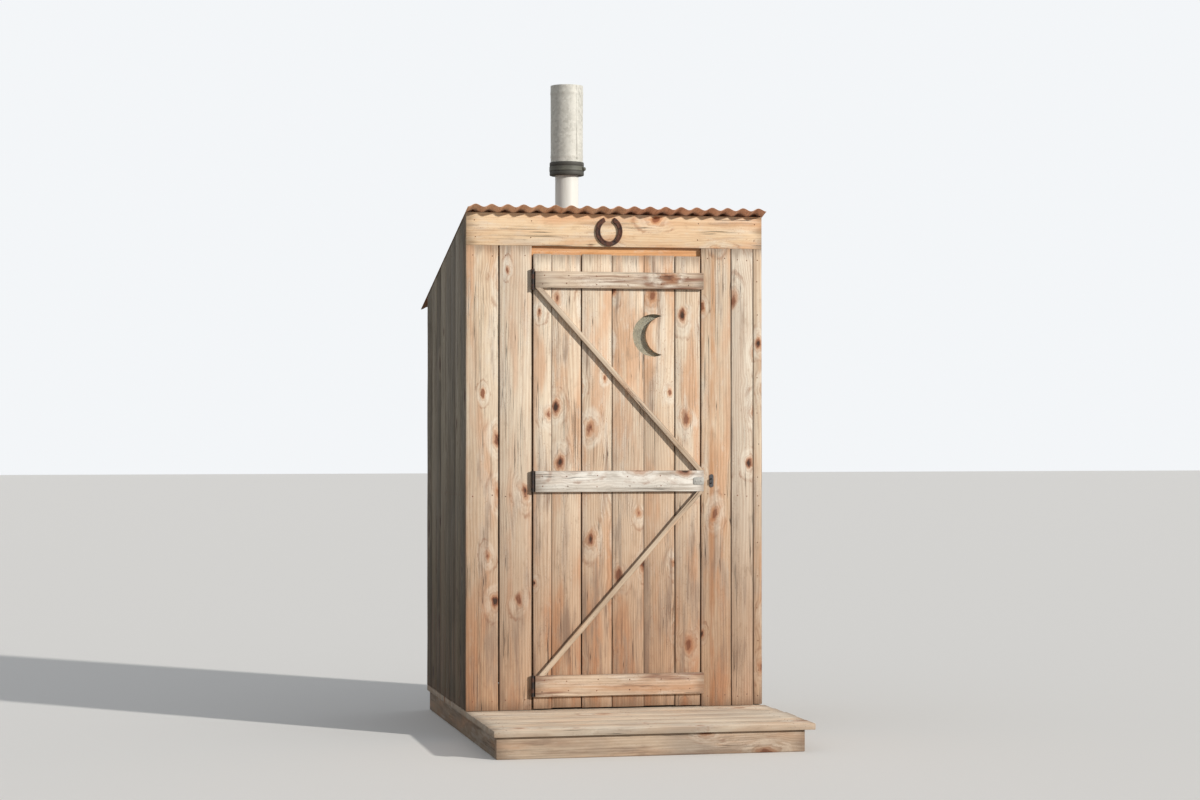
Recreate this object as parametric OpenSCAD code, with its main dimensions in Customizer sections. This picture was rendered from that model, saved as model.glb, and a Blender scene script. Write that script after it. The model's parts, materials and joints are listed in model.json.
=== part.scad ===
// Wooden outhouse with a plank door, a single-slope corrugated roof, a step and a vent pipe.
// Sizes are in millimetres. X runs to the right, Y to the back and Z up from the ground.
// The origin is on the underside of the middle skid, at the centre of the walls.

/* [House] */
// Width of the walls
body_w = 1280; // [900:1:2000]
// Depth of the walls from front face to back face
body_d = 1140; // [900:1:2000]
// Height of the front boards over the floor
front_h = 2088; // [1800:1:2600]
// Fall of the roof towards the back in degrees
roof_slope = 14.6; // [5:0.1:25]
// Thickness of the wall boards
siding_t = 19; // [12:0.5:30]
// Width of the front boards left of the doorway
front_left_w = 278; // [150:1:400]
// Width of the front boards right of the doorway
front_right_w = 267; // [150:1:400]
// Height of the header board over the doorway
header_h = 138; // [90:1:250]

/* [Base] */
// Width of a skid
skid_w = 89; // [60:1:150]
// Height of a skid
skid_h = 89; // [60:1:150]
// How far the outer skids stay inside the ends of the deck
skid_inset = 12; // [0:1:60]
// Thickness of the deck boards
deck_t = 25; // [15:0.5:40]
// How far the deck runs out in front of the walls as a step
step_d = 700; // [300:1:1000]
// How far the step reaches past the right end of the walls
step_over = 28; // [0:1:60]
// Thickness of the rim board under the front edge of the step
rim_t = 38; // [20:1:60]
// How far the rim board stays behind the edge of the deck
rim_inset = 20; // [0:1:60]

/* [Frame] */
// Thickness of a framing board
stud_t = 38; // [25:1:60]
// Width of a framing board
stud_w = 89; // [60:1:150]
// How far the door posts reach behind the door as stops
stop_lap = 15; // [5:1:30]
// How far the head beam hangs down behind the top of the door
head_lap = 12; // [5:1:40]

/* [Roof] */
// Length of one wave of the sheet
wave_len = 67.7; // [40:0.1:100]
// Depth of the waves
wave_h = 13; // [8:0.5:40]
// Thickness of the sheet metal
sheet_t = 0.8; // [0.5:0.1:2]
// Number of waves in one sheet
sheet_waves = 10; // [6:1:16]
// Number of waves that the two sheets share at the lap
lap_waves = 1; // [1:1:3]
// Gap between the two sheets at the lap
lap_gap = 0.2; // [0.1:0.1:2]
// Overhang of the roof in front of the walls
front_over = 65; // [10:1:200]
// Overhang of the roof behind the walls
back_over = 195; // [20:1:400]

/* [Door] */
// Gap between the door and the boards at its sides
door_gap = 7; // [6:0.5:15]
// Gap between the top of the door and the header board
head_gap = 32; // [8:0.5:60]
// Gap between the bottom of the door and the floor
floor_gap = 6; // [6:0.5:30]
// Thickness of the door boards
leaf_t = 19; // [15:0.5:30]
// How far the door boards stand proud of the wall
leaf_proud = 5; // [2:0.5:8]
// Thickness of the battens and braces
batten_t = 19; // [12:0.5:30]
// How far the battens reach past the door boards on the latch side
batten_over = 12; // [0:1:25]
// Height of the top batten
top_batten_h = 70; // [40:1:120]
// Height of the middle batten
mid_batten_h = 89; // [40:1:120]
// Height of the bottom batten
low_batten_h = 89; // [40:1:120]
// Distance of the top batten below the top of the door
top_batten_drop = 75; // [20:1:200]
// Distance of the bottom batten above the bottom of the door
low_batten_rise = 51; // [20:1:200]
// Width of the diagonal braces
brace_w = 22; // [15:1:90]
// How far the lower end of the lower brace stays inside the end of its batten
brace_in = 12; // [0:1:30]

/* [Moon] */
// Radius of the outer curve of the crescent
moon_r = 90; // [40:1:130]
// Radius of the inner curve of the crescent
moon_in_r = 83; // [35:1:125]
// Sideways shift of the inner curve
moon_shift = 51; // [20:1:90]
// Distance of the crescent from the middle of the door to the right
moon_x = 157; // [0:1:220]
// Distance of the crescent's centre below the top batten
moon_drop = 196; // [110:1:400]
// How far the insect screen reaches past the crescent
screen_edge = 20; // [5:1:40]
// Thickness of the insect screen
screen_t = 1; // [0.5:0.1:3]

/* [Hinges] */
// Height of a hinge
hinge_h = 89; // [50:1:150]
// Radius of the hinge knuckles
knuckle_r = 7; // [4:0.25:10]
// Radius of the hinge pin
pin_r = 3; // [2:0.25:4]
// Radial clearance of the pin in the door knuckle
pin_clear = 0.08; // [0.02:0.01:0.3]
// Thickness of a hinge leaf
hinge_t = 2; // [1:0.1:2.5]
// Gap between the knuckles along the pin
knuckle_gap = 0.4; // [0.2:0.1:2]
// Gap between the knuckle and the front of the door boards
knuckle_off = 0.5; // [0.3:0.1:3]
// Gap between the knuckle and the ends of the battens
batten_gap = 1.5; // [0.5:0.1:10]

/* [Latch] */
// Width of the steel strap on the middle batten
strap_w = 46; // [20:1:100]
// Height of the steel strap
strap_h = 32; // [15:1:60]
// Thickness of the steel strap
strap_t = 2.5; // [1:0.1:6]
// Distance of the keeper from the edge of its board
keeper_off = 44; // [20:1:100]
// Width of the keeper
keeper_w = 18; // [10:1:30]
// Height of the keeper
keeper_h = 56; // [30:1:90]
// Thickness of the keeper plate
keeper_t = 3; // [1:0.1:6]
// How far the loop of the keeper stands out of its plate
loop_out = 14; // [5:1:30]
// Thickness of the loop of the keeper
loop_t = 4; // [2:0.5:8]

/* [Horseshoe] */
// Width of the horseshoe
shoe_w = 116; // [80:1:180]
// Height of the horseshoe
shoe_h = 126; // [80:1:180]
// Width of its iron
shoe_iron = 20; // [10:1:30]
// Thickness of its iron
shoe_t = 9; // [4:0.5:15]
// Opening between its heels
shoe_mouth = 44; // [20:1:80]
// Distance of the horseshoe from the middle of the wall to the left
shoe_x = 30; // [0:1:200]
// Gap between the horseshoe and the lower edge of the header board
shoe_up = 3; // [0:1:60]

/* [Vent] */
// Radius of the pipe
pipe_r = 53.5; // [30:0.5:80]
// Wall of the pipe
pipe_wall = 3; // [1:0.1:8]
// Distance of the pipe from the middle of the walls to the left
pipe_x = 22; // [0:1:200]
// Distance of the pipe centre behind the front face
pipe_y = 950; // [500:1:1000]
// How far the pipe reaches below the deck
pipe_drop = 40; // [0:1:80]
// Radial clearance of the pipe in the deck and in the coupling
pipe_fit = 0.3; // [0.2:0.1:2]
// Radial clearance of the pipe in the roof
roof_fit = 4; // [1:0.5:15]
// Radius of the metal sleeve
sleeve_r = 74; // [40:0.5:100]
// Wall of the metal sleeve
sleeve_wall = 1; // [0.6:0.1:3]
// Length of the metal sleeve
sleeve_len = 382; // [150:1:600]
// How far the sleeve stands higher than the front boards
vent_rise = 668; // [450:1:1200]
// Outer radius of the rubber coupling
coupling_r = 79; // [76:0.5:110]
// Length of the coupling on the pipe
grip_low = 26; // [15:1:80]
// Length of the coupling on the sleeve
grip_high = 30; // [15:1:80]
// Thickness of the ledge inside the coupling
ledge_t = 5; // [2:0.5:10]
// Thickness of the clamp band
band_t = 1.2; // [0.6:0.1:3]
// Width of the clamp band
band_w = 20; // [10:1:40]
// Gap between the clamp band and the coupling
band_fit = 0.3; // [0.1:0.1:1]

/* [Hidden] */
// Level of the underside of the deck
deck_low = skid_h;
// Level of the floor
floor_z = deck_low + deck_t;
// Front face and back face of the walls
face_y = -body_d / 2;
back_y = body_d / 2;
left_x = -body_w / 2;
right_x = body_w / 2;
// Front edge of the step and the ends of the skids
step_y = face_y - step_d;
skid_y = step_y + rim_inset + rim_t;
// Top of the front boards, where the roof plane starts
roof_top = floor_z + front_h;
// Edges of the doorway between the front boards
way_left = left_x + front_left_w;
way_right = right_x - front_right_w;
header_low = roof_top - header_h;
// Edges of the door boards
leaf_x0 = way_left + door_gap;
leaf_x1 = way_right - door_gap;
leaf_z0 = floor_z + floor_gap;
leaf_z1 = header_low - head_gap;
leaf_front = face_y - leaf_proud;
leaf_back = leaf_front + leaf_t;
// Hinge line in the left gap, in front of the door boards
axis_x = way_left + door_gap / 2;
axis_y = leaf_front - knuckle_off - knuckle_r;
// Ends of the battens
batten_x0 = axis_x + knuckle_r + batten_gap;
batten_x1 = leaf_x1 + batten_over;
top_batten_low = leaf_z1 - top_batten_drop - top_batten_h;
low_batten_low = leaf_z0 + low_batten_rise;
low_batten_top = low_batten_low + low_batten_h;
// The middle batten is halfway between the other two
mid_batten_low = (low_batten_top + top_batten_low - mid_batten_h) / 2;
mid_batten_top = mid_batten_low + mid_batten_h;
// Centres of the hinges, which sit at the battens
top_hinge_z = top_batten_low + top_batten_h / 2;
mid_hinge_z = mid_batten_low + mid_batten_h / 2;
low_hinge_z = low_batten_low + low_batten_h / 2;
// Centre of the crescent
moon_cx = (leaf_x0 + leaf_x1) / 2 + moon_x;
moon_cz = top_batten_low - moon_drop;
// Framing: front layer and back layer behind the wall boards
frame_y0 = face_y + siding_t;
frame_y1 = back_y - siding_t;
frame_x0 = left_x + siding_t;
frame_x1 = right_x - siding_t;
head_low = leaf_z1 - head_lap;
door_post_x0 = leaf_x0 + stop_lap;
door_post_x1 = leaf_x1 - stop_lap;
// The middle rails are halfway up the back posts
mid_rail_low = (floor_z + roof_top - (frame_y1 - face_y) * tan(roof_slope) - stud_w) / 2;
// Roof sheets
total_waves = 2 * sheet_waves - lap_waves;
roof_x0 = -total_waves * wave_len / 2;
roof_len = (front_over + body_d + back_over) / cos(roof_slope);
wave_steps = 12;
sheet_shift = (sheet_waves - lap_waves) * wave_len;
// Vent
vent_x = -pipe_x;
vent_y = face_y + pipe_y;
vent_z1 = roof_top + vent_rise;
sleeve_z0 = vent_z1 - sleeve_len;
pipe_z0 = deck_low - pipe_drop;
pipe_z1 = sleeve_z0 - ledge_t;
coupling_z0 = pipe_z1 - grip_low;
coupling_h = grip_low + ledge_t + grip_high;
ledge_r = pipe_r - pipe_wall;
// The cross joist ends the middle skid ahead of the pipe
joist_y1 = vent_y - pipe_r - stud_t / 2;
joist_y0 = joist_y1 - stud_t;
// Knuckles
knuckle_h = (hinge_h - 2 * knuckle_gap) / 3;
// Roundness of the curves
$fn = 72;

// Height of the roof plane at a depth
function roof_at(y) = roof_top - (y - face_y) * tan(roof_slope);

// Height of one wave of the sheet at a distance from its edge
function wave_at(s) = wave_h * (1 - cos(360 * s / wave_len)) / 2;

// Box between two corners
module block(x0, x1, y0, y1, z0, z1) {
  translate([x0, y0, z0])
    cube([x1 - x0, y1 - y0, z1 - z0]);
}

// Upright piece whose top is cut to the roof plane
module cut_to_roof(x0, x1, y0, y1, z0) {
  translate([x0, 0, 0])
    rotate([90, 0, 90])
      linear_extrude(height = x1 - x0)
        polygon([[y0, z0], [y1, z0], [y1, roof_at(y1)], [y0, roof_at(y0)]]);
}

// Rail that follows the roof plane
module sloped_rail(x0, x1) {
  y0 = frame_y0 + stud_w;
  y1 = frame_y1 - stud_w;
  drop = stud_w / cos(roof_slope);
  translate([x0, 0, 0])
    rotate([90, 0, 90])
      linear_extrude(height = x1 - x0)
        polygon([[y0, roof_at(y0) - drop], [y1, roof_at(y1) - drop], [y1, roof_at(y1)], [y0, roof_at(y0)]]);
}

// Base
module skid_left() {
  color("#8a7a66")
    block(left_x + skid_inset, left_x + skid_inset + skid_w, skid_y, back_y, 0, skid_h);
}

module skid_middle() {
  color("#8a7a66")
    block(-skid_w / 2, skid_w / 2, skid_y, joist_y0, 0, skid_h);
}

module skid_right() {
  color("#8a7a66")
    block(right_x - skid_inset - skid_w, right_x - skid_inset, skid_y, back_y, 0, skid_h);
}

module rim_board() {
  color("#9c8a72")
    block(left_x + skid_inset, right_x - skid_inset, skid_y - rim_t, skid_y, 0, skid_h);
}

module cross_joist() {
  color("#8a7a66")
    block(left_x + skid_inset + skid_w, right_x - skid_inset - skid_w, joist_y0, joist_y1, 0, skid_h);
}

module deck() {
  color("#b8a488")
    difference() {
      translate([0, 0, deck_low])
        linear_extrude(height = deck_t)
          polygon([[left_x, step_y], [right_x + step_over, step_y], [right_x + step_over, face_y],
            [right_x, face_y], [right_x, back_y], [left_x, back_y]]);
      translate([vent_x, vent_y, deck_low - 1])
        cylinder(h = deck_t + 2, r = pipe_r + pipe_fit);
    }
}

// Frame
module post_front_left() {
  color("#b08d66")
    cut_to_roof(frame_x0, frame_x0 + stud_t, frame_y0, frame_y0 + stud_w, floor_z);
}

module post_front_right() {
  color("#b08d66")
    cut_to_roof(frame_x1 - stud_t, frame_x1, frame_y0, frame_y0 + stud_w, floor_z);
}

module post_back_left() {
  color("#b08d66")
    cut_to_roof(frame_x0, frame_x0 + stud_t, frame_y1 - stud_w, frame_y1, floor_z);
}

module post_back_right() {
  color("#b08d66")
    cut_to_roof(frame_x1 - stud_t, frame_x1, frame_y1 - stud_w, frame_y1, floor_z);
}

module door_post_left() {
  color("#b08d66")
    block(door_post_x0 - stud_t, door_post_x0, frame_y0, frame_y0 + stud_w, floor_z, head_low);
}

module door_post_right() {
  color("#b08d66")
    block(door_post_x1, door_post_x1 + stud_t, frame_y0, frame_y0 + stud_w, floor_z, head_low);
}

module head_beam() {
  color("#d09a60")
    block(frame_x0 + stud_t, frame_x1 - stud_t, frame_y0, frame_y0 + stud_t, head_low, head_low + stud_w);
}

module back_plate() {
  y0 = frame_y1 - stud_t;
  color("#b08d66")
    cut_to_roof(frame_x0 + stud_t, frame_x1 - stud_t, y0, frame_y1, roof_at(frame_y1) - stud_w);
}

module top_rail_left() {
  color("#b08d66")
    sloped_rail(frame_x0, frame_x0 + stud_t);
}

module top_rail_right() {
  color("#b08d66")
    sloped_rail(frame_x1 - stud_t, frame_x1);
}

module mid_rail_left() {
  color("#b08d66")
    block(frame_x0, frame_x0 + stud_t, frame_y0 + stud_w, frame_y1 - stud_w, mid_rail_low, mid_rail_low + stud_w);
}

module mid_rail_right() {
  color("#b08d66")
    block(frame_x1 - stud_t, frame_x1, frame_y0 + stud_w, frame_y1 - stud_w, mid_rail_low, mid_rail_low + stud_w);
}

// Walls
module wall_left() {
  color("#a58f76")
    cut_to_roof(left_x, frame_x0, frame_y0, frame_y1, floor_z);
}

module wall_right() {
  color("#a58f76")
    cut_to_roof(frame_x1, right_x, frame_y0, frame_y1, floor_z);
}

module wall_back() {
  color("#a58f76")
    cut_to_roof(left_x, right_x, frame_y1, back_y, floor_z);
}

module front_wall_left() {
  color("#cbb497")
    block(left_x, way_left, face_y, frame_y0, floor_z, header_low);
}

module front_wall_right() {
  color("#cbb497")
    block(way_right, right_x, face_y, frame_y0, floor_z, header_low);
}

module header_board() {
  color("#dcc09a")
    cut_to_roof(left_x, right_x, face_y, frame_y0, header_low);
}

// Roof
module wave_outline() {
  count = sheet_waves * wave_steps;
  end = sheet_waves * wave_len;
  mids = [for (i = [0:count - 1]) (i + 0.5) * wave_len / wave_steps];
  all_s = concat([0], mids, [end]);
  low = wave_at(wave_len / wave_steps / 2);
  under = [for (s = all_s) [s, max(wave_at(s), low) - low]];
  over = [for (i = [len(under) - 1:-1:0]) under[i] + [0, sheet_t]];
  polygon(concat(under, over));
}

module pipe_hole() {
  translate([vent_x, vent_y, floor_z])
    cylinder(h = roof_top, r = pipe_r + roof_fit);
}

module roof_sheet(x0, lift) {
  translate([x0, face_y, roof_top])
    rotate([-roof_slope, 0, 0])
      translate([0, roof_len - front_over / cos(roof_slope), lift])
        rotate([90, 0, 0])
          linear_extrude(height = roof_len)
            wave_outline();
}

module roof_sheet_left() {
  color("#8c5a3c")
    difference() {
      roof_sheet(roof_x0, 0);
      pipe_hole();
    }
}

module roof_sheet_right() {
  color("#7d4e35")
    difference() {
      roof_sheet(roof_x0 + sheet_shift, sheet_t + lap_gap);
      pipe_hole();
    }
}

// Vent
module ring(z0, z1, r_out, r_in) {
  translate([vent_x, vent_y, z0])
    difference() {
      cylinder(h = z1 - z0, r = r_out);
      translate([0, 0, -1])
        cylinder(h = z1 - z0 + 2, r = r_in);
    }
}

module vent_pipe() {
  color("#f2f2ee")
    ring(pipe_z0, pipe_z1, pipe_r, pipe_r - pipe_wall);
}

module vent_coupling() {
  grip_r = pipe_r + pipe_fit;
  socket_r = sleeve_r + pipe_fit;
  z1 = grip_low;
  z2 = grip_low + ledge_t;
  color("#2a2a2a")
    translate([vent_x, vent_y, coupling_z0])
      rotate_extrude()
        polygon([[grip_r, 0], [coupling_r, 0], [coupling_r, coupling_h], [socket_r, coupling_h],
          [socket_r, z2], [ledge_r, z2], [ledge_r, z1], [grip_r, z1]]);
}

module coupling_band() {
  z0 = coupling_z0 + (coupling_h - band_w) / 2;
  color("#8f958f")
    ring(z0, z0 + band_w, coupling_r + band_fit + band_t, coupling_r + band_fit);
}

module vent_sleeve() {
  color("#b5b8ba")
    ring(sleeve_z0, vent_z1, sleeve_r, sleeve_r - sleeve_wall);
}

// Front details
module shoe_outline() {
  a0 = asin(shoe_mouth / shoe_w);
  steps = 36;
  span = 360 - 2 * a0;
  in_w = shoe_w / 2 - shoe_iron;
  in_h = shoe_h / 2 - shoe_iron;
  outer = [for (i = [0:steps]) let (a = a0 + span * i / steps) [shoe_w / 2 * sin(a), shoe_h / 2 * cos(a)]];
  inner = [for (i = [steps:-1:0]) let (a = a0 + span * i / steps) [in_w * sin(a), in_h * cos(a)]];
  polygon(concat(outer, inner));
}

module horseshoe() {
  color("#4a2e24")
    translate([-shoe_x, face_y, header_low + shoe_up + shoe_h / 2])
      rotate([90, 0, 0])
        linear_extrude(height = shoe_t)
          shoe_outline();
}

module latch_keeper() {
  straight = keeper_h - keeper_w;
  x = way_right + keeper_off;
  loop_h = straight / 2 + loop_t;
  color("#3a3432")
    translate([x, face_y, mid_hinge_z])
      union() {
        rotate([90, 0, 0])
          linear_extrude(height = keeper_t)
            union() {
              translate([-keeper_w / 2, -straight / 2])
                square([keeper_w, straight]);
              translate([0, straight / 2])
                circle(r = keeper_w / 2);
              translate([0, -straight / 2])
                circle(r = keeper_w / 2);
            }
        difference() {
          translate([-loop_t / 2, -keeper_t - loop_out, -loop_h / 2])
            cube([loop_t, loop_out + keeper_t / 2, loop_h]);
          translate([-loop_t, -keeper_t - loop_out + loop_t, -loop_h / 2 + loop_t])
            cube([2 * loop_t, loop_out - loop_t, loop_h - 2 * loop_t]);
        }
      }
}

// Hinges
// The fixed half: a leaf on the edge of the wall boards, two knuckles and the pin
module hinge_fixed(zc) {
  z0 = zc - hinge_h / 2;
  z1 = zc + hinge_h / 2;
  reach = frame_y0 - axis_y;
  mid0 = z0 + knuckle_h;
  mid1 = z1 - knuckle_h;
  color("#3c332e")
    union() {
      difference() {
        block(way_left, way_left + hinge_t, axis_y, axis_y + reach, z0, z1);
        block(way_left - 1, way_left + hinge_t + 1, axis_y - 1, leaf_front, mid0, mid1);
      }
      translate([axis_x, axis_y, z0])
        cylinder(h = knuckle_h, r = knuckle_r);
      translate([axis_x, axis_y, mid1])
        cylinder(h = knuckle_h, r = knuckle_r);
      translate([axis_x, axis_y, z0])
        cylinder(h = hinge_h, r = pin_r);
    }
}

// The door half: a leaf on the edge of the door boards and the middle knuckle
module hinge_moving(zc) {
  z0 = zc - hinge_h / 2;
  z1 = zc + hinge_h / 2;
  mid0 = z0 + knuckle_h;
  mid1 = z1 - knuckle_h;
  color("#4a3d36")
    difference() {
      union() {
        block(leaf_x0 - hinge_t, leaf_x0, leaf_front, leaf_back, z0, z1);
        block(leaf_x0 - hinge_t, leaf_x0, axis_y, leaf_front, mid0 + knuckle_gap, mid1 - knuckle_gap);
        translate([axis_x, axis_y, mid0 + knuckle_gap])
          cylinder(h = mid1 - mid0 - 2 * knuckle_gap, r = knuckle_r);
      }
      translate([axis_x, axis_y, z0 - 1])
        cylinder(h = hinge_h + 2, r = pin_r + pin_clear);
    }
}

module hinge_top_fixed() {
  hinge_fixed(top_hinge_z);
}

module hinge_middle_fixed() {
  hinge_fixed(mid_hinge_z);
}

module hinge_bottom_fixed() {
  hinge_fixed(low_hinge_z);
}

module hinge_top_door() {
  hinge_moving(top_hinge_z);
}

module hinge_middle_door() {
  hinge_moving(mid_hinge_z);
}

module hinge_bottom_door() {
  hinge_moving(low_hinge_z);
}

// Door
module moon_outline() {
  difference() {
    circle(r = moon_r);
    translate([moon_shift, 0])
      circle(r = moon_in_r);
  }
}

module door_leaf() {
  color("#c4a580")
    difference() {
      block(leaf_x0, leaf_x1, leaf_front, leaf_back, leaf_z0, leaf_z1);
      translate([moon_cx, leaf_back + 1, moon_cz])
        rotate([90, 0, 0])
          linear_extrude(height = leaf_t + 2)
            moon_outline();
    }
}

module moon_screen() {
  half = moon_r + screen_edge;
  color("#7f8a80")
    block(moon_cx - half, moon_cx + half, leaf_back, leaf_back + screen_t, moon_cz - half, moon_cz + half);
}

module batten_top() {
  color("#d8bb92")
    block(batten_x0, batten_x1, leaf_front - batten_t, leaf_front, top_batten_low, top_batten_low + top_batten_h);
}

module batten_middle() {
  color("#d8cdb8")
    block(batten_x0, batten_x1, leaf_front - batten_t, leaf_front, mid_batten_low, mid_batten_top);
}

module batten_bottom() {
  color("#c8b294")
    block(batten_x0, batten_x1, leaf_front - batten_t, leaf_front, low_batten_low, low_batten_top);
}

// Diagonal brace from an upper corner to the opposite lower corner
module brace(z_low, z_high, falls_right, inside) {
  high = z_high - z_low;
  x0 = batten_x0 + inside;
  wide = batten_x1 - x0;
  first = brace_w / sin(atan2(high, wide));
  along = brace_w / sin(atan2(high, wide - first));
  falling = [[x0, z_high], [x0 + along, z_high], [batten_x1, z_low], [batten_x1 - along, z_low]];
  rising = [[batten_x1, z_high], [batten_x1 - along, z_high], [x0, z_low], [x0 + along, z_low]];
  translate([0, leaf_front, 0])
    rotate([90, 0, 0])
      linear_extrude(height = batten_t)
        polygon(falls_right ? falling : rising);
}

module brace_upper() {
  color("#d8bb92")
    brace(mid_batten_top, top_batten_low, true, 0);
}

module brace_lower() {
  color("#d8bb92")
    brace(low_batten_top, mid_batten_low, false, brace_in);
}

module latch_strap() {
  y1 = leaf_front - batten_t;
  z0 = mid_hinge_z - strap_h / 2;
  color("#a9adb0")
    block(batten_x1 - strap_w, batten_x1, y1 - strap_t, y1, z0, z0 + strap_h);
}

skid_left();
skid_middle();
skid_right();
rim_board();
cross_joist();
deck();
post_front_left();
post_front_right();
post_back_left();
post_back_right();
door_post_left();
door_post_right();
head_beam();
back_plate();
top_rail_left();
top_rail_right();
mid_rail_left();
mid_rail_right();
wall_left();
wall_right();
wall_back();
front_wall_left();
front_wall_right();
header_board();
roof_sheet_left();
roof_sheet_right();
vent_pipe();
vent_coupling();
coupling_band();
vent_sleeve();
horseshoe();
latch_keeper();
hinge_top_fixed();
hinge_middle_fixed();
hinge_bottom_fixed();
door_leaf();
batten_top();
batten_middle();
batten_bottom();
brace_upper();
brace_lower();
moon_screen();
latch_strap();
hinge_top_door();
hinge_middle_door();
hinge_bottom_door();
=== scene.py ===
# %% [markdown]
# This script dresses a small wooden outhouse. The solids of the house are already
# measured and packed, so Blender only has to make them look real: loose boards
# instead of slabs, rust, nails, grain and dirt. We load the imported model first.
# Nothing made here may grow past it.

# %% Load the imported house
import bpy
import bmesh
import json
import math
import random
from mathutils import Matrix, Vector, noise

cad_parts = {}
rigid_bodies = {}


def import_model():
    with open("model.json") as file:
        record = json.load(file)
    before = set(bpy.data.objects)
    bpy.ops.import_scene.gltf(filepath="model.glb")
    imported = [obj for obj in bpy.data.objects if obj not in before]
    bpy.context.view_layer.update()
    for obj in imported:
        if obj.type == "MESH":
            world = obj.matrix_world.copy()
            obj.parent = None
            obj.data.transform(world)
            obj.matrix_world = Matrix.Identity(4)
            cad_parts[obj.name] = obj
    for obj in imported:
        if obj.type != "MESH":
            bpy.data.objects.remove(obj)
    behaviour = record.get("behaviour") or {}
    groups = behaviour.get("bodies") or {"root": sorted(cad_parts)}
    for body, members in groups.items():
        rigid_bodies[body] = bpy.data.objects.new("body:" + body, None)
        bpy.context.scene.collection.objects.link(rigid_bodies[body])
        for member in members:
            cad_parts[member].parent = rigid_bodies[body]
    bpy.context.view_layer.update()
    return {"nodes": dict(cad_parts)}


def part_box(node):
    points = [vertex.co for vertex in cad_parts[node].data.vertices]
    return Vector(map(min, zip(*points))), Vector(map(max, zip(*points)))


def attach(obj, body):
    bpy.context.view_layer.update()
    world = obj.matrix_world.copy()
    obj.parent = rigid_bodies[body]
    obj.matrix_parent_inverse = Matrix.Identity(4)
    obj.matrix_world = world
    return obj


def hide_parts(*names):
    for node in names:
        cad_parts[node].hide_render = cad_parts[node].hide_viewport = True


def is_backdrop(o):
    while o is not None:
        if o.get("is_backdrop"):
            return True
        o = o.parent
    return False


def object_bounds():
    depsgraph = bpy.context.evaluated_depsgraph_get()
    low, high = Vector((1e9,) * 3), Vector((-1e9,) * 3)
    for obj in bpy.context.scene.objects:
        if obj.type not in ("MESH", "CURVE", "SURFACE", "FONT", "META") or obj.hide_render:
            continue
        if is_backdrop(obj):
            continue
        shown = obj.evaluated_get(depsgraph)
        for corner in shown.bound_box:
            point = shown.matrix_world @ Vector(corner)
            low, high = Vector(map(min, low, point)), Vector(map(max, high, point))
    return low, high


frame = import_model()
scene = bpy.context.scene


def metres(corner):
    return tuple(round(v, 3) for v in corner)


# %% [markdown]
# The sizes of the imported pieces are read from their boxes, so the dressing follows
# the house. The roof is one plane that falls to the back. Two points on it are the
# top of the front header and the top of the back wall, and they give its slope.

# %% Measure the house
face_low, face_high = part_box("header_board")
back_low, back_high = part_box("wall_back")
deck_low, deck_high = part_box("deck")
leaf_low, leaf_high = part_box("door_leaf")
face_y = face_low.y
floor_z = deck_high.z
roof_fall = (face_high.z - back_high.z) / (back_low.y - face_y)
roof_point = Vector((0, face_y, face_high.z))
roof_normal = Vector((0, roof_fall, 1)).normalized()
print("roof falls", round(math.degrees(math.atan(roof_fall)), 2), "degrees")


def roof_at(y):
    """Height of the roof plane over a depth."""
    return face_high.z - (y - face_y) * roof_fall


# %% [markdown]
# A finish is a small net of nodes. Writing the sums as Python keeps them readable:
# a Signal wraps one output of a node, and adding or multiplying two signals puts
# the matching Math node into the net. All other nodes come from one method, node().

# %% Signals
class Signal:
    """One output of a node, which can stand in a sum."""

    def __init__(self, net, socket):
        self.net = net
        self.socket = socket

    def sum(self, operation, *values):
        return self.net.node("ShaderNodeMath", {"operation": operation}, dict(enumerate(values)))

    def __add__(self, other):
        return self.sum("ADD", self, other)

    def __sub__(self, other):
        return self.sum("SUBTRACT", self, other)

    def __rsub__(self, other):
        return self.sum("SUBTRACT", other, self)

    def __mul__(self, other):
        return self.sum("MULTIPLY", self, other)

    def __truediv__(self, other):
        return self.sum("DIVIDE", self, other)

    def __rtruediv__(self, other):
        return self.sum("DIVIDE", other, self)

    def __abs__(self):
        return self.sum("ABSOLUTE", self)

    __radd__ = __add__
    __rmul__ = __mul__

    def wave(self):
        """A sine that runs between 0 and 1."""
        return self.sum("SINE", self) * 0.5 + 0.5

    def most(self, other):
        return self.sum("MAXIMUM", self, other)

    def over(self, level):
        return self.sum("GREATER_THAN", self, level)


class Net:
    """The nodes of a material or a world, which is its owner."""

    def __init__(self, owner):
        self.owner = owner
        owner.use_nodes = True
        self.tree = owner.node_tree

    def plug(self, socket, value):
        if isinstance(value, Signal):
            self.tree.links.new(value.socket, socket)
        else:
            socket.default_value = (*value, 1) if socket.type == "RGBA" else value

    def node(self, kind, settings=None, sockets=None, out=0):
        """Any node: its settings first, then the values or links of its sockets."""
        made = self.tree.nodes.new(kind)
        for key, value in (settings or {}).items():
            if key == "stops":
                ramp = made.color_ramp.elements
                for extra in value[2:]:
                    ramp.new(0.5)
                for element, (place, colour) in zip(ramp, value):
                    element.position = place
                    element.color = (*colour, 1)
            else:
                setattr(made, key, value)
        for key, value in (sockets or {}).items():
            self.plug(made.inputs[key], value)
        if out is None:
            return [Signal(self, socket) for socket in made.outputs]
        return Signal(self, made.outputs[out])


# %% [markdown]
# A worn surface is built up like paint: a first colour, then coat after coat, each
# with a mask that says where it covers. Masks come from noise: cloud makes it, and
# step turns it into a mask with soft borders. wear hands it all to the surface.

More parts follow.
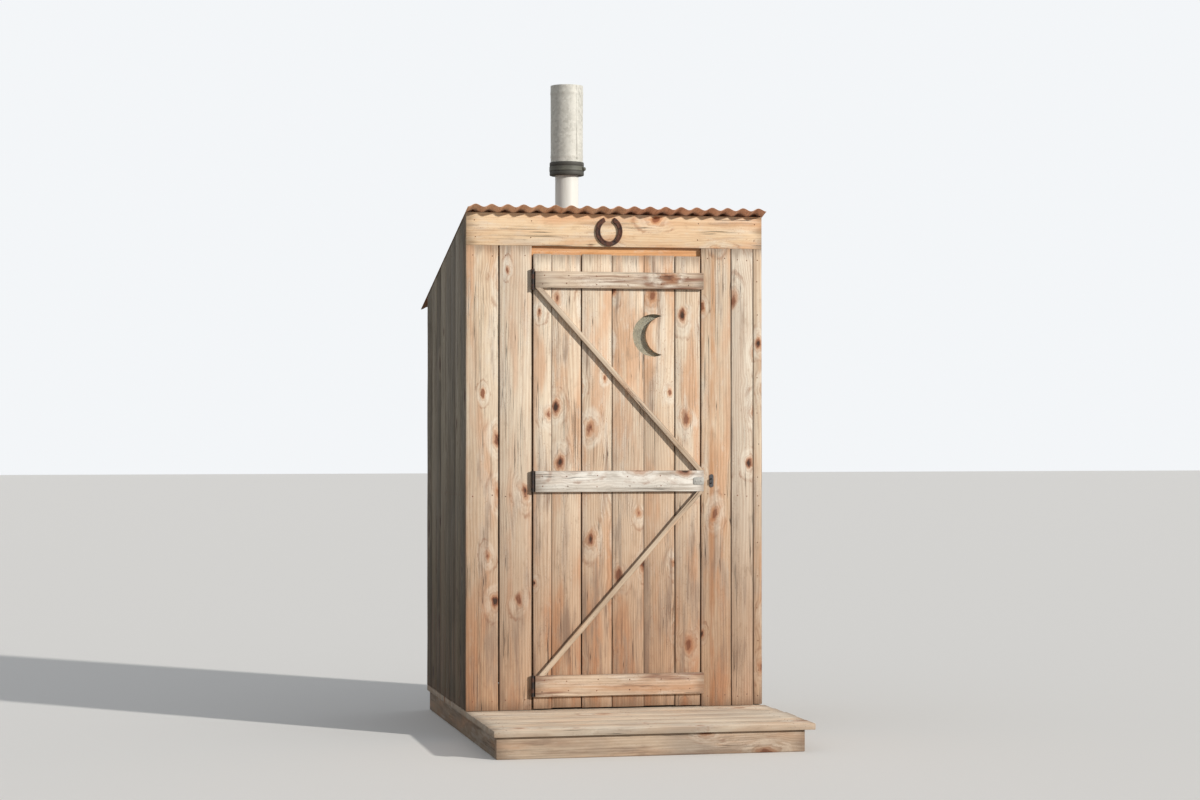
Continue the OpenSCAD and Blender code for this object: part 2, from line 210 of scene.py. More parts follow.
# %% Finishes
class Finish(Net):
    """A material whose patterns and coats of colour build on each other."""

    def __init__(self, name):
        super().__init__(bpy.data.materials.new(name))
        self.place = self.pattern = self.node("ShaderNodeTexCoord", out="Object")
        self.colour = None

    def parts(self, vector):
        return self.node("ShaderNodeSeparateXYZ", None, {0: vector}, out=None)

    def stretch(self, vector, scales):
        """The same pattern at another scale along each direction."""
        times = {"operation": "MULTIPLY"}
        return self.node("ShaderNodeVectorMath", times, {0: vector, 1: scales})

    def cloud(self, scales, detail=2, rough=0.5, where=None):
        """Smooth noise from 0 to 1, with so many lumps a metre along each direction."""
        place = self.stretch(where or self.pattern, scales)
        sockets = {"Vector": place, "Scale": 1.0, "Detail": detail, "Roughness": rough}
        return self.node("ShaderNodeTexNoise", None, sockets)

    def step(self, value, low, high, first=0.0, last=1.0):
        """Runs smoothly from first to last while the value goes from low to high."""
        names = ("Value", "From Min", "From Max", "To Min", "To Max")
        sockets = dict(zip(names, (value, low, high, first, last)))
        return self.node("ShaderNodeMapRange", {"interpolation_type": "SMOOTHSTEP"}, sockets)

    def mix(self, share, first, second, way="MIX"):
        settings = {"data_type": "RGBA", "blend_type": way, "clamp_factor": True}
        return self.node("ShaderNodeMix", settings, {0: share, 6: first, 7: second}, out=2)

    def coat(self, share, colour, way="MIX"):
        """Lays one more colour over those that are there already."""
        self.colour = self.mix(share, self.colour, colour, way)

    def bump(self, height, depth, strength):
        """Small relief that a height signal presses into the surface."""
        sockets = {"Height": height, "Distance": depth, "Strength": strength}
        return self.node("ShaderNodeBump", None, sockets)

    def wear(self, **sockets):
        """Gives the surface its colour, and what else changes over it."""
        shader = self.tree.nodes["Principled BSDF"]
        for key, value in {"Base Color": self.colour, **sockets}.items():
            self.plug(shader.inputs[key], value)
        return self


def tinted(colour, *by):
    """A colour times one number, or times a number for red, green and blue each."""
    return tuple(c * b for c, b in zip(colour, by if len(by) == 3 else by * 3))


print("finish helpers ready")

# %% [markdown]
# Old softwood is never one colour. Each board has its own tone, bleached and
# reddish patches, streaks and fibres, hairline checks, dirt at its ends, and dirt
# with painted shade along its sides. All of it is noise, stretched so that it runs
# along the board. Every board carries its own directions for that, as an attribute
# named grain.

# %% What a board tells its finish
class Wood(Finish):
    """Reads the attributes that every board carries."""

    def __init__(self, name):
        super().__init__(name)
        self.grain = self.pattern = self.read("grain")
        self.tone = self.read("tone", "Fac")
        self.height = self.parts(self.place)[2]
        self.across = self.parts(self.grain)[1]
        lengthwise, self.sideways = self.parts(self.read("local"))[:2]
        half_length, half_width = self.parts(self.read("half"))[:2]
        self.from_end = half_length - abs(lengthwise)
        self.from_side = half_width - abs(self.sideways)

    def read(self, attribute, out="Vector"):
        return self.node("ShaderNodeAttribute", {"attribute_name": attribute}, out=out)


# %% [markdown]
# Knots are single cells of a pattern of points. A cell knows its own centre, so
# the growth rings can flow around it the way water flows around a post: a ring
# line at a distance d beside the knot is pushed out by d times a over r squared.
# The distance wobbles a little, or every knot would be a drawn circle.

# %% Knots
KNOT_CELLS = (4.2, 7.4, 0)
FLOW = 0.0026
FLOW_CORE = 0.007


def knot_masks(f, share):
    """Masks of the knots, and how far they push the growth rings aside."""
    flat = f.stretch(f.grain, KNOT_CELLS)
    sockets = {"Vector": flat, "Scale": 1.0, "Randomness": 0.85}
    points = {"feature": "F1", "voronoi_dimensions": "2D"}
    borders = {"feature": "DISTANCE_TO_EDGE", "voronoi_dimensions": "2D"}
    far, pick, centre = f.node("ShaderNodeTexVoronoi", points, sockets, out=None)[:3]
    border = f.node("ShaderNodeTexVoronoi", borders, sockets)
    luck, size, kind = f.node("ShaderNodeSeparateColor", None, {0: pick}, out=None)
    chosen = luck.over(1 - share) * f.step(border, 0.0, 0.14)
    wobble = f.cloud((15, 26, 26), 4, 0.6) * 0.36 - 0.18
    near = (far + wobble) / (size * 1.1 + 0.55)
    beside = f.parts(flat)[1] - f.parts(centre)[1]
    push = beside * chosen * FLOW / (near * near + FLOW_CORE)
    core = f.step(near, 0.085, 0.045) * chosen
    heart = f.step(near, 0.045, 0.0) * chosen * kind.over(0.5)
    halo = f.step(near, 0.17, 0.05) * chosen
    pale = f.step(abs(near - 0.22), 0.13, 0.03) * f.step(wobble, -0.06, 0.04) * chosen
    arc = f.step(abs(near - 0.31), 0.055, 0.0) * f.step(wobble, 0.025, -0.05) * chosen * 1.6
    circles = (near * 90).wave() * f.step(near, 0.3, 0.1) * chosen
    return core, heart, halo, pale, circles.most(arc), push


# %% Weathered wood
SILVER = (0.42, 0.38, 0.33)
ORANGE = (0.60, 0.31, 0.15)
STAIN = (0.22, 0.135, 0.09)
DIRT_AND_SHADE = (0.15, 0.085, 0.05)
PITCH = (0.035, 0.018, 0.012)
CRACK = (0.035, 0.022, 0.016)
RINGS, LINES = 520, 1450


def old_wood(name, pale, mid, dark, red=(0.80, 0.46, 0.26), bleached=(0.90, 0.82, 0.69),
             knots=0.45, warm=0.7, bleach=0.7, bold=1.0, grey=0.2, damp=0.0, wear=1.0,
             stain=0.6, band=0.0, soak=(0.60, 0.48, 0.41), differ=0.5, clouded=2.3):
    """Old wood of three tones; the numbers say how strong each kind of wear is."""
    f = Wood(name)
    core, heart, halo, ring, circles, push = knot_masks(f, knots)

    # Growth rings that flow around the knots, and finer lines between them.
    drift = f.cloud((0.9, 7, 7)) * 34
    swim = f.across - push
    rings = (swim * RINGS + drift).wave()
    lines = (swim * LINES + drift * 2.3).wave()
    streaks = f.cloud((2.2, 34, 34), 4, 0.65)
    specks = f.cloud((150, 240, 240), 1)
    mottle = f.cloud((17, 44, 44), 4, 0.65)
    fibres = f.cloud((7, 480, 480), 3, 0.7)
    blotch = f.cloud((1.7, 9, 9), 3, 0.6)
    patch = f.cloud((3.1, 19, 19), 3, 0.6)
    glow = f.cloud((2.3, 13, 13))
    split = abs(f.cloud((1.1, 75, 75)) - 0.5)
    checks = f.step(split, 0.013, 0.0) * f.step(f.cloud((2.5, 16, 16), 1), 0.5, 0.6) * wear

    # Colour, from the broad tone to the fine lines.
    shade = (f.tone - 0.5) * differ + (blotch - 0.5) * clouded + 0.5
    f.colour = f.mix(f.step(shade, 0.1, 0.95), pale, mid)
    f.coat(f.step(glow, 0.48, 0.64, 0, warm), red)
    f.coat(f.step(patch, 0.5, 0.66, 0, bleach), bleached)
    f.coat(f.step(f.tone, 0.14, 0.02, 0, 0.8), bleached)
    f.coat(f.step(mottle, 0.48, 0.3, 0, 0.4), bleached)
    f.coat(f.step(mottle, 0.52, 0.76, 0, 0.5), tinted(mid, 0.62))
    f.coat(f.step(streaks, 0.56 - 0.05 * bold, 0.82 - 0.07 * bold, 0, 0.42 * bold), dark)
    f.coat(rings * f.step(blotch, 0.3, 0.7, 0.12, 0.42), dark)
    f.coat(lines * fibres * 0.35, dark)
    f.coat(f.step(fibres, 0.52, 0.75, 0, 0.4), dark)
    f.coat(f.step(f.cloud((3, 3, 1.3), 3, where=f.place), 0.42, 0.68) * grey, SILVER)
    stripe = f.step(abs(f.sideways + 0.016) + (streaks - 0.5) * 0.03, 0.016, 0.004)
    f.coat(stripe * f.tone.over(0.57) * f.step(patch, 0.3, 0.5) * band, ORANGE)
    f.coat(ring * bleach * 0.85, bleached)
    f.coat(f.step(specks, 0.64, 0.72, 0, 0.6) * f.step(patch, 0.4, 0.6), dark)
    f.coat(halo * 0.5, tinted(mid, 0.9, 0.52, 0.33))
    f.coat(circles * 0.35, tinted(mid, 0.44, 0.25, 0.18))
    f.coat(core * 0.85, tinted(mid, 0.30, 0.135, 0.09))
    f.coat(heart * 0.9, PITCH)

    # Darker wood: damp near the ground, dark tongues of stain, dirty ends, rims along the sides
    # with dirt and painted shade, and checks.
    height = f.height + (streaks - 0.5) * 0.9 + (blotch - 0.5) * 0.8
    low = f.step(height, floor_z + 1.4, floor_z + 0.05) * damp
    f.coat(low, soak, "MULTIPLY")
    f.coat(f.step(streaks * 0.45 + patch * 0.55 + low * 0.08, 0.55, 0.70) * stain, STAIN)
    # Painted shade with dirt: the wood along each side of a board is darkened, as the gap beside
    # it lies in shade.
    rim = f.step(f.from_side + (fibres - 0.5) * 0.006, 0.0045, 0.0) * 0.5
    ends = f.step(f.from_end + (streaks - 0.5) * 0.13, 0.05, -0.01) * 0.55
    f.coat(rim.most(ends), DIRT_AND_SHADE)
    f.coat(checks * 0.85, CRACK)

    relief = rings * 0.3 + fibres * 0.4 + streaks * 0.5 - checks * 1.6 + core * 0.5 - heart * 0.9
    return f.wear(Roughness=f.step(fibres, 0.3, 0.7, 0.78, 0.95),
                  Normal=f.bump(relief, 0.0012, 0.8))


# %% The woods of the house
front_wood = old_wood(
    "front_wood", (0.95, 0.81, 0.62), (0.78, 0.60, 0.42), (0.42, 0.23, 0.13), damp=1.0, band=0.7)
door_wood = old_wood(
    "door_wood", (0.96, 0.83, 0.65), (0.82, 0.64, 0.46), (0.42, 0.22, 0.12), damp=1.0, stain=0.7)
header_wood = old_wood(
    "header_wood", (0.96, 0.75, 0.50), (0.89, 0.59, 0.35), (0.58, 0.32, 0.16),
    knots=0.3, bleach=0.45, grey=0.1, stain=0.3)
batten_wood = old_wood(
    "batten_wood", (0.90, 0.77, 0.60), (0.72, 0.56, 0.40), (0.26, 0.12, 0.07),
    red=(0.66, 0.40, 0.25), bleached=(0.97, 0.88, 0.74), knots=0.4, warm=0.5, bleach=1.0,
    bold=2.4, damp=0.4, band=0.45)
brace_wood = old_wood(
    "brace_wood", (0.82, 0.68, 0.52), (0.46, 0.34, 0.23), (0.30, 0.18, 0.11),
    bleached=(0.72, 0.60, 0.46), knots=0.1, bleach=0.4, stain=0.3)
grey_batten = old_wood(
    "grey_batten", (0.98, 0.94, 0.86), (0.80, 0.73, 0.63), (0.33, 0.26, 0.20),
    bleached=(0.98, 0.95, 0.88), knots=0.85, warm=0.15, bold=1.7, grey=0.3)
# Painted shade: the wall wood is weathered greyer and is also made much darker than the front
# wood. This stands in for the shade on the left wall, and all three walls get it.
wall_wood = old_wood(
    "wall_wood", (0.42, 0.355, 0.26), (0.168, 0.138, 0.091), (0.05, 0.038, 0.026),
    red=(0.21, 0.14, 0.09), bleached=(0.47, 0.40, 0.30), knots=0.25, warm=0.3, bleach=0.4,
    grey=0.25, bold=1.8, damp=1.0, soak=(0.43, 0.37, 0.28), differ=1.4, clouded=1.2)
deck_wood = old_wood(
    "deck_wood", (0.97, 0.86, 0.69), (0.84, 0.69, 0.52), (0.42, 0.28, 0.18),
    knots=0.22, warm=0.35, grey=0.3, stain=0.4)
rim_wood = old_wood(
    "rim_wood", (0.82, 0.70, 0.54), (0.64, 0.51, 0.38), (0.32, 0.21, 0.14),
    knots=0.25, warm=0.4, bold=1.4, grey=0.5, damp=0.5)
base_wood = old_wood(
    "base_wood", (0.50, 0.38, 0.26), (0.34, 0.25, 0.17), (0.16, 0.11, 0.075),
    knots=0.25, grey=0.4)
frame_wood = old_wood(
    "frame_wood", (0.66, 0.48, 0.30), (0.52, 0.36, 0.22), (0.30, 0.17, 0.09),
    bleach=0.2, grey=0.1, stain=0.2)
fresh_wood = old_wood(
    "fresh_wood", (0.93, 0.56, 0.28), (0.86, 0.46, 0.20), (0.55, 0.23, 0.09),
    knots=0.0, bleach=0.15, grey=0.0, wear=0.4, stain=0.2)
print("materials with the woods:", len(bpy.data.materials))

# %% [markdown]
# Metal and plastic need the same care at their own scale: flaking rust that runs
# down the roof, zinc crystals on the sleeve, dust in the rubber, a chalky skin on
# the white pipe. They read Object coordinates, which are real metres here, so a
# zinc crystal stays the size of a thumbnail.

# %% Rusty roof sheet
def rusty_sheet(name, lit, glow):
    """Rust from dark to lit, with a bright band near the sheet's open edge: orange rust with
    painted light on the shaded underside.
    """
    f = Finish(name)
    runs = f.cloud((30, 1.6, 1.6), 4, 0.6)
    patch = f.cloud((5, 3, 3), 4, 0.6)
    grit = f.cloud((260, 260, 260), 4, 0.7)
    edge = f.step(f.parts(f.place)[1] + (runs - 0.5) * 0.25, face_y + 0.16, face_y - 0.03)
    shades = ((0.30, 0.2), (0.48, 0.5), (0.62, 1), (0.78, 1.3))
    stops = [(place, tinted(lit, by)) for place, by in shades]
    rust = runs * 0.5 + patch * 0.3 + grit * 0.25
    f.colour = f.node("ShaderNodeValToRGB", {"stops": stops}, {"Fac": rust})
    zinc = f.step(patch + (grit - 0.5) * 0.3, 0.53, 0.66) * (1 - edge)
    f.coat(zinc * 0.45, (0.27, 0.235, 0.21))
    flakes = f.step(grit * 0.6 + runs * 0.4, 0.49, 0.62)
    # Painted light over orange rust: the edge band is coated far brighter than rust, lighting
    # the underside that the camera sees in shade.
    f.coat(edge * 0.92, f.mix(flakes, glow, tinted(glow, 0.60, 0.46, 0.38)))
    return f.wear(Metallic=zinc * 0.6, Roughness=f.step(zinc, 0, 1, 0.9, 0.55),
                  Normal=f.bump(grit + patch * 0.5, 0.0008, 0.6))


# The third colour of each sheet is its edge band, orange rust with painted light.
left_sheet = rusty_sheet("rusty_sheet", (0.54, 0.25, 0.12), (1.0, 0.65, 0.45))
# Painted shade: the right sheet's rust is darker than the left's, standing in for the shadow of
# a tree.
right_sheet_painted_shade = rusty_sheet("rusty_sheet_darker", (0.38, 0.16, 0.08), (0.95, 0.56, 0.39))


# %% Iron and zinc
def old_iron(name, base, rust, share):
    """Dark iron with rust in bloom over a share of it."""
    f = Finish(name)
    patch = f.cloud((45, 45, 45), 4, 0.6)
    grit = f.cloud((600, 600, 600), 3, 0.7)
    bloom = f.step(patch + (grit - 0.5) * 0.4, 0.62 - share * 0.4, 0.82 - share * 0.4)
    f.colour = f.mix(bloom, base, rust)
    f.coat(f.step(grit, 0.6, 0.8, 0, 0.5), (0.02, 0.014, 0.012))
    return f.wear(Metallic=(1 - bloom) * 0.6, Roughness=f.step(bloom, 0, 1, 0.5, 0.9),
                  Normal=f.bump(grit * 0.5 + patch, 0.0007, 0.7))


def galvanised(name, pale, dark, dull, metal):
    """Zinc crystals under a dull haze with darker spots."""
    f = Finish(name)
    crystals = {"Vector": f.place, "Scale": 85.0, "Randomness": 1.0}
    flake = f.node("ShaderNodeTexVoronoi", {"feature": "F1"}, crystals, out="Color")
    shade = f.node("ShaderNodeSeparateColor", None, {0: flake})
    haze = f.cloud((16, 16, 9), 4, 0.6)
    spots = f.cloud((90, 90, 60), 3, 0.6)
    f.colour = f.mix(shade * 0.6 + haze * 0.4, dark, pale)
    f.coat(f.step(haze, 0.5, 0.72) * dull, pale)
    f.coat(f.step(spots, 0.6, 0.74) * 0.5, dark)
    return f.wear(Metallic=f.step(haze, 0.35, 0.75, metal, metal * 0.4),
                  Roughness=shade * 0.12 + haze * 0.25 + 0.42,
                  Normal=f.bump(shade + spots, 0.0003, 0.5))


iron_finish = old_iron("old_iron", (0.034, 0.021, 0.018), (0.125, 0.052, 0.032), 0.6)
keeper_finish = old_iron("keeper_iron", (0.085, 0.085, 0.09), (0.16, 0.085, 0.055), 0.35)
hinge_finish = old_iron("hinge_iron", (0.035, 0.028, 0.026), (0.12, 0.05, 0.03), 0.4)
nail_finish = old_iron("nail_iron", (0.09, 0.06, 0.05), (0.26, 0.10, 0.05), 0.7)
zinc_finish = galvanised("zinc_sleeve", (0.74, 0.73, 0.67), (0.46, 0.45, 0.40), 0.5, 0.15)
strap_finish = galvanised("zinc_strap", (0.52, 0.51, 0.47), (0.32, 0.31, 0.29), 0.3, 0.2)
band_finish = galvanised("band_steel", (0.15, 0.15, 0.12), (0.09, 0.09, 0.075), 0.1, 0.0)
print("metal finishes ready")


# %% White pipe, black rubber and the wire of the screen
f = Finish("white_pipe")
runs = f.cloud((60, 60, 3), 4, 0.6)
scuff = f.cloud((240, 240, 240), 3, 0.6)
dirt = f.step(runs, 0.52, 0.78)
f.colour = f.mix(dirt * 0.4, (0.80, 0.80, 0.75), (0.58, 0.53, 0.44))
f.coat(f.step(scuff, 0.62, 0.8, 0, 0.3), (0.62, 0.60, 0.56))
pipe_finish = f.wear(Roughness=dirt * 0.25 + 0.42, Normal=f.bump(scuff + runs, 0.0003, 0.4))

f = Finish("black_rubber")
dust = f.cloud((50, 50, 50), 4, 0.6)
pores = f.cloud((900, 900, 900), 2, 0.6)
f.colour = f.mix(f.step(dust, 0.5, 0.8, 0, 0.5), (0.060, 0.057, 0.048), (0.13, 0.12, 0.10))
rubber_finish = f.wear(Roughness=dust * 0.3 + 0.5, Normal=f.bump(pores, 0.0002, 0.5))

f = Finish("screen_wire")
dust = f.cloud((40, 40, 40), 3, 0.6)
spots = f.cloud((500, 500, 500), 2, 0.6)
f.colour = f.mix(f.step(dust, 0.4, 0.7), (0.68, 0.66, 0.53), (0.52, 0.50, 0.40))
f.coat(f.step(spots, 0.6, 0.75, 0, 0.5), (0.22, 0.16, 0.11))
screen_finish = f.wear(Metallic=0.3, Roughness=dust * 0.2 + 0.5)
print("finishes in all:", len(bpy.data.materials))

# %% [markdown]
# A board could be one stretched cube, but real boards have worn arrises and are
# never quite straight. So each starts as a cube along X, gets stations along its
# length and a small bevel on every arris, and wanders by about a millimetre. It
# takes its grain attribute there, in metres from its own middle plus a random
# offset, so no two boards match. Then it is turned and moved to its place.

# %% A lying board
draws = random.Random(7)
STATION = 0.13
ARRIS = 0.0018
WANDER = 0.0016


def sharp_edges(bm):
    return [e for e in bm.edges if e.calc_face_angle(0) > 1.2]


def soften(bm, edges, width, segments=2):
    """Takes the sharpness off some edges with a small bevel."""
    bmesh.ops.bevel(bm, geom=edges, offset=width, segments=segments, profile=0.5,
                    affect="EDGES", material=-1)


def block(size, soft=0, segments=2):
    """A box centred on the origin, with soft edges where that is asked for."""
    bm = bmesh.new()
    bmesh.ops.create_cube(bm, size=1)
    bmesh.ops.scale(bm, vec=size, verts=bm.verts)
    if soft:
        soften(bm, bm.edges[:], soft, segments)
    return bm


def lying_board(length, width, thick, arris=ARRIS, wander=WANDER):
    """A board with worn arrises along X, centred on the origin."""
    bm = block((length, width, thick))
    lengthwise = [e for e in bm.edges if abs(e.verts[0].co.x - e.verts[1].co.x) > length / 2]
    cuts = max(1, round(length / STATION))
    bmesh.ops.subdivide_edges(bm, edges=lengthwise, cuts=cuts, use_grid_fill=True)
    soften(bm, sharp_edges(bm), arris)
    start = draws.uniform(0, 90)
    for v in bm.verts:
        side = math.copysign(5, v.co.y)
        v.co.y += wander * noise.noise(Vector((v.co.x * 4 + start, side, 0)))
        v.co.z += wander * 0.5 * noise.noise(Vector((v.co.x * 2.5 + start, 20, 0)))
    return bm


def mark_grain(bm, shade=None):
    """Gives each point of a lying board its place in the grain and on the board."""
    layers = bm.verts.layers
    grain, local, half = [layers.float_vector.new(name) for name in ("grain", "local", "half")]
    tone = layers.float.new("tone")
    offset = Vector([draws.uniform(0, 30) for i in range(3)])
    level = draws.random() if shade is None else shade
    size = Vector([max(abs(v.co[i]) for v in bm.verts) for i in range(3)])
    for v in bm.verts:
        v[grain] = v.co + offset
        v[local] = v.co
        v[half] = size
        v[tone] = level


# %% [markdown]
# Two kinds of cut are needed. A hole is a Boolean: the board and a closed
# cutter become objects for a moment, because Boolean is a modifier, and the result
# comes back as a new mesh. A straight cut is simpler: bisect_plane clears what
# lies outside a plane, and the open rim is filled with one face.

# %% Saws
def as_object(name, bm):
    """Turns a bmesh into an object of the scene."""
    mesh = bpy.data.meshes.new(name)
    bm.to_mesh(mesh)
    bm.free()
    made = bpy.data.objects.new(name, mesh)
    scene.collection.objects.link(made)
    return made


def cut_out(bm, cutters):
    """Cuts closed shapes out of a board, and hands back the new board."""
    for cutter in cutters:
        wood, tool = as_object("wood", bm), as_object("tool", cutter)
        cut = wood.modifiers.new("cut", "BOOLEAN")
        cut.operation = "DIFFERENCE"
        cut.solver = "EXACT"
        cut.object = tool
        bpy.context.view_layer.update()
        graph = bpy.context.evaluated_depsgraph_get()
        done = bpy.data.meshes.new_from_object(wood.evaluated_get(graph))
        bm = bmesh.new()
        bm.from_mesh(done)
        bpy.data.batch_remove([wood, tool, wood.data, tool.data, done])
    return bm


def saw(bm, point, normal):
    """Saws off what stands out over a plane, and closes the cut."""
    cut = bmesh.ops.bisect_plane(bm, geom=bm.verts[:] + bm.edges[:] + bm.faces[:], dist=1e-6,
                                 plane_co=point, plane_no=normal, clear_outer=True)
    rim = [g for g in cut["geom_cut"] if isinstance(g, bmesh.types.BMEdge)]
    bmesh.ops.contextual_create(bm, geom=rim)


# %% Boards in their places
def axes(along, across):
    """The rotation that lays a board's length and width along two directions."""
    return Matrix((along, across, along.cross(across))).transposed()


def rotation(angle, axis):
    return Matrix.Rotation(angle, 3, axis)


def lay(bm, spot, turn=Matrix.Identity(3)):
    """Turns a shape and takes it to a spot."""
    place = Matrix.Translation(spot) @ turn.to_4x4()
    bmesh.ops.transform(bm, matrix=place, verts=bm.verts)
    return bm


def laid_board(size, spot, turn, shade=None, cutters=(), **edges):
    """A board of a size at a spot, cut while it still lies at the origin."""
    back = (Matrix.Translation(spot) @ turn.to_4x4()).inverted()
    bm = lying_board(*size, **edges)
    for cutter in cutters:
        bmesh.ops.transform(cutter, matrix=back, verts=cutter.verts)
    bm = cut_out(bm, cutters)
    mark_grain(bm, shade)
    return lay(bm, spot, turn)


def board(low, high, under_roof=False, **more):
    """A board that fills a box, with its length along the longest side."""
    low, high = Vector(low), Vector(high)
    size = high - low
    length, width = sorted(range(3), key=lambda i: -size[i])[:2]
    ways = Matrix.Identity(3)
    turn = axes(ways[length], ways[width])
    bm = laid_board(sorted(size, reverse=True), (low + high) / 2, turn, **more)
    if under_roof:
        saw(bm, roof_point, roof_normal)
    return bm


# %% [markdown]
# A piece is several such parts in one mesh. Its object stays at the origin, rides
# on the house or on the door, hides the solid it stands for and shows its finish.
# Smooth shading with sharp creases keeps the small bevels soft without rounding
# the flat faces.

# %% Putting pieces together
def piece(name, parts, finish, stands_for=(), body="house", crease=35):
    whole = bmesh.new()
    for part in parts:
        loose = bpy.data.meshes.new("loose")
        part.to_mesh(loose)
        part.free()
        whole.from_mesh(loose)
        bpy.data.meshes.remove(loose)
    made = as_object(name, whole)
    mesh = made.data
    mesh.materials.append(finish.owner)
    mesh.shade_smooth()
    mesh.set_sharp_from_angle(angle=math.radians(crease))
    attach(made, body)
    if stands_for:
        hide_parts(*stands_for)
    print(name, len(mesh.polygons), "faces")


def one_board(node, finish, slot, body="house", **more):
    """One solid as one board."""
    piece(node + "_wood", [board(*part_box(node), **more)], finish, [node], body)


# %% [markdown]
# As in the photograph, the front is two boards on the left of the doorway and two
# boards with a narrow strip on the right, under one wide header. A shade of 0 is a
# pale board and 1 a dark one.

# %% Front boards and header
GAP = 0.003
RAGGED = 0.004


def upright_boards(name, node, joints, gaps, finish, slot, shades=None, axis=0, **more):
    """Boards side by side along x (0) or y (1), with a gap at each inner joint."""
    gaps = [0] + gaps + [0]
    boards = []
    for i, shade in enumerate(shades or [None] * (len(joints) - 1)):
        start, end = map(Vector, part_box(node))
        start[axis] = joints[i] + gaps[i] / 2
        end[axis] = joints[i + 1] - gaps[i + 1] / 2
        start.z += draws.uniform(0, RAGGED)
        boards.append(board(start, end, shade=shade, **more))
    piece(name, boards, finish, [node])


way_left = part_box("front_wall_left")[1].x
way_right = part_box("front_wall_right")[0].x
left_joints = [face_low.x, face_low.x + 0.139, way_left]
right_joints = [way_right, way_right + 0.1315, way_right + 0.2285, face_high.x]
for side, joints, gaps, shades in (
        ("left", left_joints, [0.006], [0.45, 0.10]),
        ("right", right_joints, [0.004, 0.003], [0.6, 0.05, 0.3])):
    upright_boards("front_boards_" + side, "front_wall_" + side, joints, gaps,
                   front_wood, "front_wood", shades)
piece("header_wood", [board(face_low, face_high, shade=0.35, under_roof=True)],
      header_wood, ["header_board"])

# %% [markdown]
# The other three walls are out of sight or in shade. They are built the same plain
# way: upright boards a hand and a half wide, sawn along the roof line, with small
# gaps where the wood has shrunk. Their wood is dark with painted shade.

# %% Side walls and back wall
side_low, side_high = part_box("wall_left")


def even(first, last, count):
    """Places of joints that divide a width evenly."""
    return [first + (last - first) * i / count for i in range(count + 1)]


def shrunk(count):
    """Uneven gaps between boards that have dried."""
    return [draws.uniform(0.001, 0.003) for i in range(count)]


side_joints = even(side_low.y, side_high.y, 8)
side_shades = [0.9, 0.25, 1.0, 0.6, 0.05, 0.95, 0.1, 0.85]
for side in ("left", "right"):
    upright_boards(side + "_wall_boards", "wall_" + side, side_joints, shrunk(7),
                   wall_wood, "wall_wood", side_shades, axis=1, under_roof=True)
back_joints = even(back_low.x, back_high.x, 9)
upright_boards("back_wall_boards", "wall_back", back_joints, shrunk(8),
               wall_wood, "wall_wood", under_roof=True)

# %% [markdown]
# The deck is both the floor inside and the step in front of the door. Its boards
# lie across the skids. The vent pipe goes down through the floor, so a round
# cutter is taken out of the boards that it passes.

# %% Deck, skids and rim
pipe_low, pipe_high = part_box("vent_pipe")
pipe_middle = (pipe_low + pipe_high) / 2
pipe_r = (pipe_high.x - pipe_low.x) / 2
HOLE_FIT = 0.0015


def rod(sides, radius, length, tip=None):
    """An upright rod, or a cone where its tip has another radius."""
    bm = bmesh.new()
    bmesh.ops.create_cone(bm, cap_ends=True, segments=sides, radius1=radius,
                          radius2=radius if tip is None else tip, depth=length)
    return bm


def deck_boards(name, joints, right_ends, shades):
    boards = []
    for front, back, right, shade in zip(joints, joints[1:], right_ends, shades):
        low = (deck_low.x, front + GAP / 2, deck_low.z)
        high = (right, back - GAP / 2, deck_high.z)
        cutters = []
        if front < pipe_high.y and back > pipe_low.y:
            cutters = [lay(rod(48, pipe_r + HOLE_FIT, 4), (*pipe_middle.xy, 0))]
        boards.append(board(low, high, shade=shade, cutters=cutters, arris=0.0025))
    piece(name, boards, deck_wood, ["deck"])


step_joints = even(deck_low.y - GAP / 2, face_y, 5)
floor_joints = even(face_y, deck_high.y + GAP / 2, 8)
step_ends = [deck_high.x - short for short in (0.001, 0.004, 0.0, 0.009, 0.014)]
deck_boards("step_boards", step_joints, step_ends, (0.2, 0.55, 0.3, 0.6, 0.4))
deck_boards("floor_boards", floor_joints, [face_high.x] * 8, [0.5] * 8)
for node in ("skid_left", "skid_middle", "skid_right", "cross_joist"):
    one_board(node, base_wood, "base_wood", arris=0.004, wander=0.0004)
one_board("rim_board", rim_wood, "base_wood", arris=0.003, wander=0.0004)

# %% [markdown]
# The frame is sawn stock that shows only when the door is open, apart from the
# head beam, a bright strip of fresher wood in the gap over the door.

# %% Frame
for node in ("post_front_left", "post_front_right", "post_back_left", "post_back_right"):
    one_board(node, frame_wood, "frame_wood", under_roof=True)
for node in ("door_post_left", "door_post_right", "mid_rail_left", "mid_rail_right"):
    one_board(node, frame_wood, "frame_wood")
one_board("back_plate", frame_wood, "frame_wood", under_roof=True)
one_board("head_beam", fresh_wood, "fresh_wood")

# %% Rails that follow the roof
for node in ("top_rail_left", "top_rail_right"):
    low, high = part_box(node)
    level = high.y - low.y
    fall = level * roof_fall
    deep = (high.z - low.z - fall) / math.hypot(1, roof_fall)
    middle = (low + high) / 2
    middle.z = roof_at(middle.y)
    turn = axes(Vector((0, 1, -roof_fall)).normalized(), roof_normal)
    size = (math.hypot(level, fall), deep, high.x - low.x)
    rail = laid_board(size, middle - roof_normal * deep / 2, turn)
    piece(node + "_wood", [rail], frame_wood, [node])

# %% [markdown]
# The door is six boards on three battens and two diagonal braces. The crescent is
# cut through the boards that it crosses, with a cutter made as one disc less
# another, and a screen of crossed wires closes it from behind.

# %% Door boards with the crescent
moon_low, moon_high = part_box("moon_screen")
moon_middle = (moon_low + moon_high) / 2
MOON_R = 0.090
MOON_IN_R = 0.083
MOON_SHIFT = 0.051


def disc(radius, shift, depth):
    """A round cutter through the door, at or beside the crescent's middle."""
    spot = (moon_middle.x + shift, (leaf_low.y + leaf_high.y) / 2, moon_middle.z)
    return lay(rod(96, radius, depth), spot, rotation(math.pi / 2, "X"))


